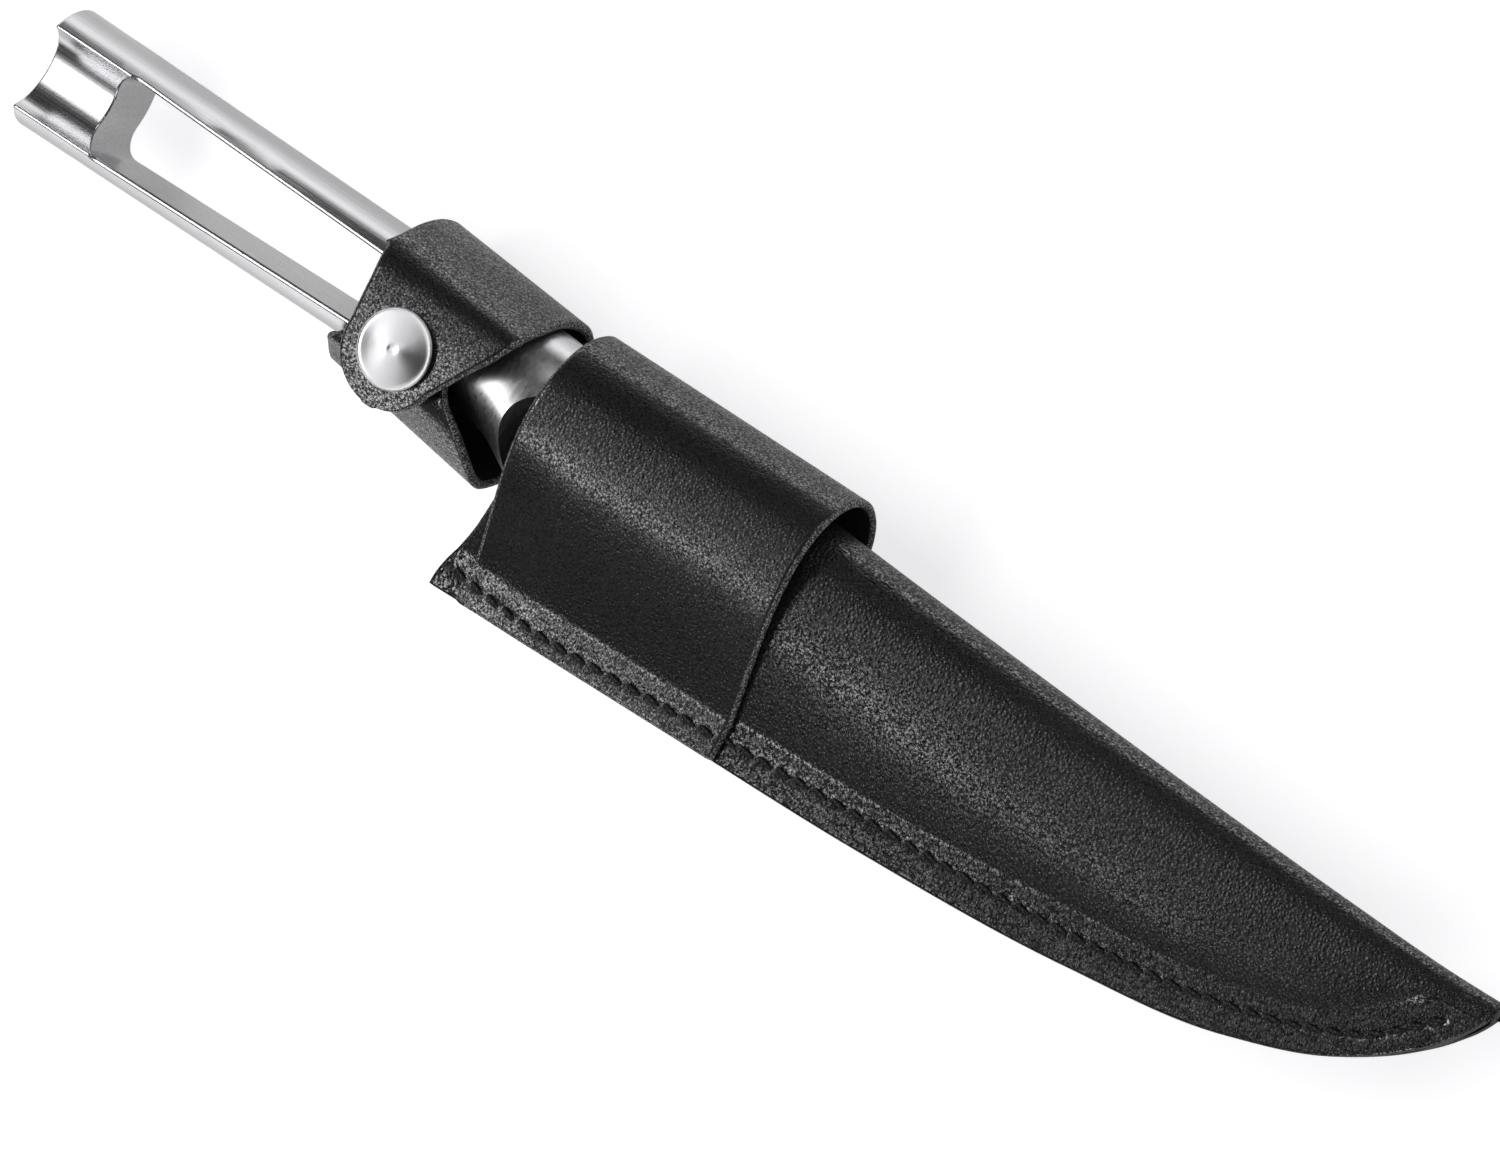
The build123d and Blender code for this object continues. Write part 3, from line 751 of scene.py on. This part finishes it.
def make_stem():
    """The stem behind the sheath, with its box of stitches."""
    x = np.concatenate([np.linspace(STRAP_END - 0.4, STEM_END - STEM_ROUND, 150),
                        STEM_END - STEM_ROUND + STEM_ROUND * np.sin(np.linspace(0.05, 1, 16) * 1.5)])
    past = np.clip(x - (STEM_END - STEM_ROUND), 0, STEM_ROUND - 0.01)
    tuck = STEM_ROUND - np.sqrt(STEM_ROUND ** 2 - past ** 2)
    # On its edge side the stem widens into the lower arm.
    flare = STEM_FLARE * (1 - ramp(x, STRAP_END, STRAP_END + FLARE_RUN)) ** 2
    low, high = STEM_LOW + tuck - flare, STEM_HIGH - tuck
    share = np.linspace(0, 1, STEM_POINTS)
    y = high[:, None] + (low - high)[:, None] * share
    base = np.stack([np.broadcast_to(x[:, None], y.shape), y, np.full(y.shape, REST_Z)], 2)
    # The stitches lie in a shallow channel pressed into the back.
    left, right = SEW_BOX[0][0], SEW_BOX[1][0]
    bottom, top = SEW_BOX[0][1], SEW_BOX[2][1]
    gap = np.maximum(np.maximum(left - base[..., 0], base[..., 0] - right),
                     np.maximum(bottom - base[..., 1], base[..., 1] - top))
    gap = np.where(gap < 0, np.minimum.reduce([base[..., 0] - left, right - base[..., 0],
                                               base[..., 1] - bottom, top - base[..., 1]]), gap)
    outer = base.copy()
    outer[..., 2] += 0.02 + CHANNEL_DEPTH * np.exp(-(gap / CHANNEL_REACH) ** 2)
    inner = base + np.array([0, 0, STRAP_LEATHER])
    # Its outer face looks down, so the grid is turned over.
    piece = thick_sheet("strap_stem", outer[:, ::-1], inner[:, ::-1],
                        [strap_leather, edge_leather, flesh], swell=0.22)
    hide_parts("strap")
    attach(piece, "sheath")
    middles, alongs = sew_points()
    row = stitch_row("strap_thread", middles, alongs, np.full(len(middles), REST_Z + SEW_R + 0.03),
                     -1, 0.0, SEW_LENGTH, SEW_R)
    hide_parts("strap_stitches")


# ---- snap ----
def turned_mesh(profile, sides=96):
    """Vertices and faces of a body turned about the snap's axis from (radius, height) points."""
    vertices = []
    for radius, height in profile:
        for j in range(sides):
            angle = 2 * math.pi * j / sides
            vertices.append((SNAP[0] + radius * math.cos(angle), SNAP[1] + radius * math.sin(angle),
                             height))
    faces = grid_faces(len(profile), sides, close=True, flip=True)
    return np.array(vertices), capped(faces, len(profile), sides)


CAP_HEIGHT = 1.95


def make_cap():
    """Spun cap: straight wall, rolled lip, shallow cone and a small dimple in the middle."""
    base = cap_high[2] - CAP_HEIGHT
    profile = [(0.02, -0.03), (CAP_R - 0.35, -0.03), (CAP_R - 0.08, 0.06), (CAP_R, 0.3), (CAP_R, 0.86),
               (CAP_R - 0.05, 1.04), (CAP_R - 0.16, 1.15), (CAP_R - 0.3, 1.18), (CAP_R - 0.42, 1.13),
               (CAP_R - 0.55, 1.12), (CAP_R - 1.2, 1.22), (5.4, 1.40), (4.2, 1.58), (3.0, 1.75),
               (2.2, 1.84), (1.6, 1.89), (1.2, 1.91), (0.95, 1.90), (0.7, 1.86), (0.4, 1.83), (0.02, 1.82)]
    vertices, faces = turned_mesh([(r, base + z) for r, z in profile])
    piece = make_object("snap_cap_spun", vertices, faces, [snap_steel])
    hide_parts("snap_cap")
    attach(piece, "upper_strap")


make_shell()
make_band()
make_edge_stitches()
make_strap()
make_stem()
make_cap()

# The CAD nodes that stay in view take their materials.
for node, material in (("handle", bar_steel), ("blade", blade_steel), ("welt", burnished),
                       ("snap_socket", snap_steel), ("snap_spring", snap_steel),
                       ("snap_stud", snap_steel), ("snap_post", snap_steel)):
    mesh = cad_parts[node].data
    mesh.materials.clear()
    mesh.materials.append(material)

# ---- stage ----
# The directions in the row frame of the picture's right, of its up, and of its viewer.
RIGHT = Vector((0.7641, 0.4698, -0.4409)).normalized()
ROUGH_UP = Vector((-0.5124, 0.8581, 0.0248))
UP = (ROUGH_UP - RIGHT * ROUGH_UP.dot(RIGHT)).normalized()
BACK = RIGHT.cross(UP)
LENS, SENSOR = 1000.0, 36.0     # mm
FRAME_WIDTH = 0.2641            # metres across the picture at the object
NEAR_CLIP, FAR_CLIP = 0.05, 40.0
LOOK_AT = Vector(place((165.6, -7.2, 0.0)))

FLOOR_HALF = 1.2                # metres
FLOOR_GLOW = 0.70               # as the camera sees the floor
FLOOR_NEAR, FLOOR_FAR = 0.3, 1.3        # as it lights the object, close by and further away
GLOW_RISE = (0.03, 0.12)        # metres from the handle's axis over which that light rises
GLOW_FALL = (0.3, 0.9)          # and over which it falls again
GLOW_REST = 0.1                 # share of it that is left beyond
ROOM_LIGHT, BACKDROP = 0.05, 0.95       # of the world, on the object and to the camera
LIGHT_DISTANCE = 1.2            # metres


def make_camera():
    """A long lens from afar, because the photograph shows almost no perspective."""
    data = bpy.data.cameras.new("camera")
    data.lens, data.sensor_width = LENS, SENSOR
    camera = bpy.data.objects.new("camera", data)
    bpy.context.scene.collection.objects.link(camera)
    distance = FRAME_WIDTH * LENS / SENSOR
    turn = Matrix((RIGHT, UP, BACK)).transposed()
    camera.matrix_world = Matrix.Translation(LOOK_AT + BACK * distance) @ turn.to_4x4()
    data.clip_start, data.clip_end = NEAR_CLIP, FAR_CLIP
    bpy.context.scene.camera = camera


def make_floor():
    """Plain and pale to the camera. On the object it shines most from a broad stripe on each side
    of the handle's axis, which gives the round steel its streaks."""
    m = Nodes("pale_floor")
    side = m.new("ShaderNodeSeparateXYZ", Vector=m.place).outputs["Y"]
    away = m.math("ABSOLUTE", m.math("SUBTRACT", side, ORIGIN[1]))
    rise = m.map(away, *GLOW_RISE, FLOOR_NEAR, FLOOR_FAR)
    fall = m.map(away, *GLOW_FALL, 1.0, GLOW_REST)
    shine = m.math("MULTIPLY", rise, fall)
    seen = m.new("ShaderNodeLightPath").outputs["Is Camera Ray"]
    m.link(m.mix(seen, shine, grey(FLOOR_GLOW)), "Emission Color")
    m.set(Base_Color=(0.8, 0.8, 0.8, 1), Roughness=1.0, Specular_IOR_Level=0.0, Emission_Strength=1.0)
    mesh = bpy.data.meshes.new("floor")
    half = FLOOR_HALF
    mesh.from_pydata([(-half, -half, 0), (half, -half, 0), (half, half, 0), (-half, half, 0)], [],
                     [(0, 1, 2, 3)])
    mesh.materials.append(m.material)
    floor = bpy.data.objects.new("floor", mesh)
    bpy.context.scene.collection.objects.link(floor)


def soft_light(name, direction, size, power):
    """An area light of size metres and power watts that looks at the object from direction."""
    data = bpy.data.lights.new(name, "AREA")
    data.shape = "RECTANGLE"
    data.size, data.size_y = size
    data.energy = power
    lamp = bpy.data.objects.new(name, data)
    way = Vector(direction).normalized()
    lamp.location = LOOK_AT + way * LIGHT_DISTANCE
    lamp.rotation_mode = "QUATERNION"
    lamp.rotation_quaternion = way.to_track_quat("Z", "Y")
    bpy.context.scene.collection.objects.link(lamp)


def make_world():
    """Dim all round for crisp reflections; the picture itself sees a pale backdrop."""
    world = bpy.data.worlds.new("world")
    world.use_nodes = True
    tree = world.node_tree
    dim = tree.nodes["Background"]
    dim.inputs["Color"].default_value = (1, 1, 1, 1)
    dim.inputs["Strength"].default_value = ROOM_LIGHT
    pale = tree.nodes.new("ShaderNodeBackground")
    pale.inputs["Strength"].default_value = BACKDROP
    seen = tree.nodes.new("ShaderNodeLightPath").outputs["Is Camera Ray"]
    mix = tree.nodes.new("ShaderNodeMixShader")
    tree.links.new(seen, mix.inputs[0])
    tree.links.new(dim.outputs[0], mix.inputs[1])
    tree.links.new(pale.outputs[0], mix.inputs[2])
    tree.links.new(mix.outputs[0], tree.nodes["World Output"].inputs["Surface"])
    bpy.context.scene.world = world


make_camera()
make_floor()
make_world()
soft_light("key", (-0.56, -0.11, 0.82), (1.4, 0.34), 7.4)
soft_light("spine_side", (0.38, 0.70, 0.60), (0.8, 0.3), 2.3)
soft_light("edge_side", (0.38, -0.75, 0.54), (0.8, 0.3), 2.8)

bpy.context.scene.view_settings.view_transform = "Standard"
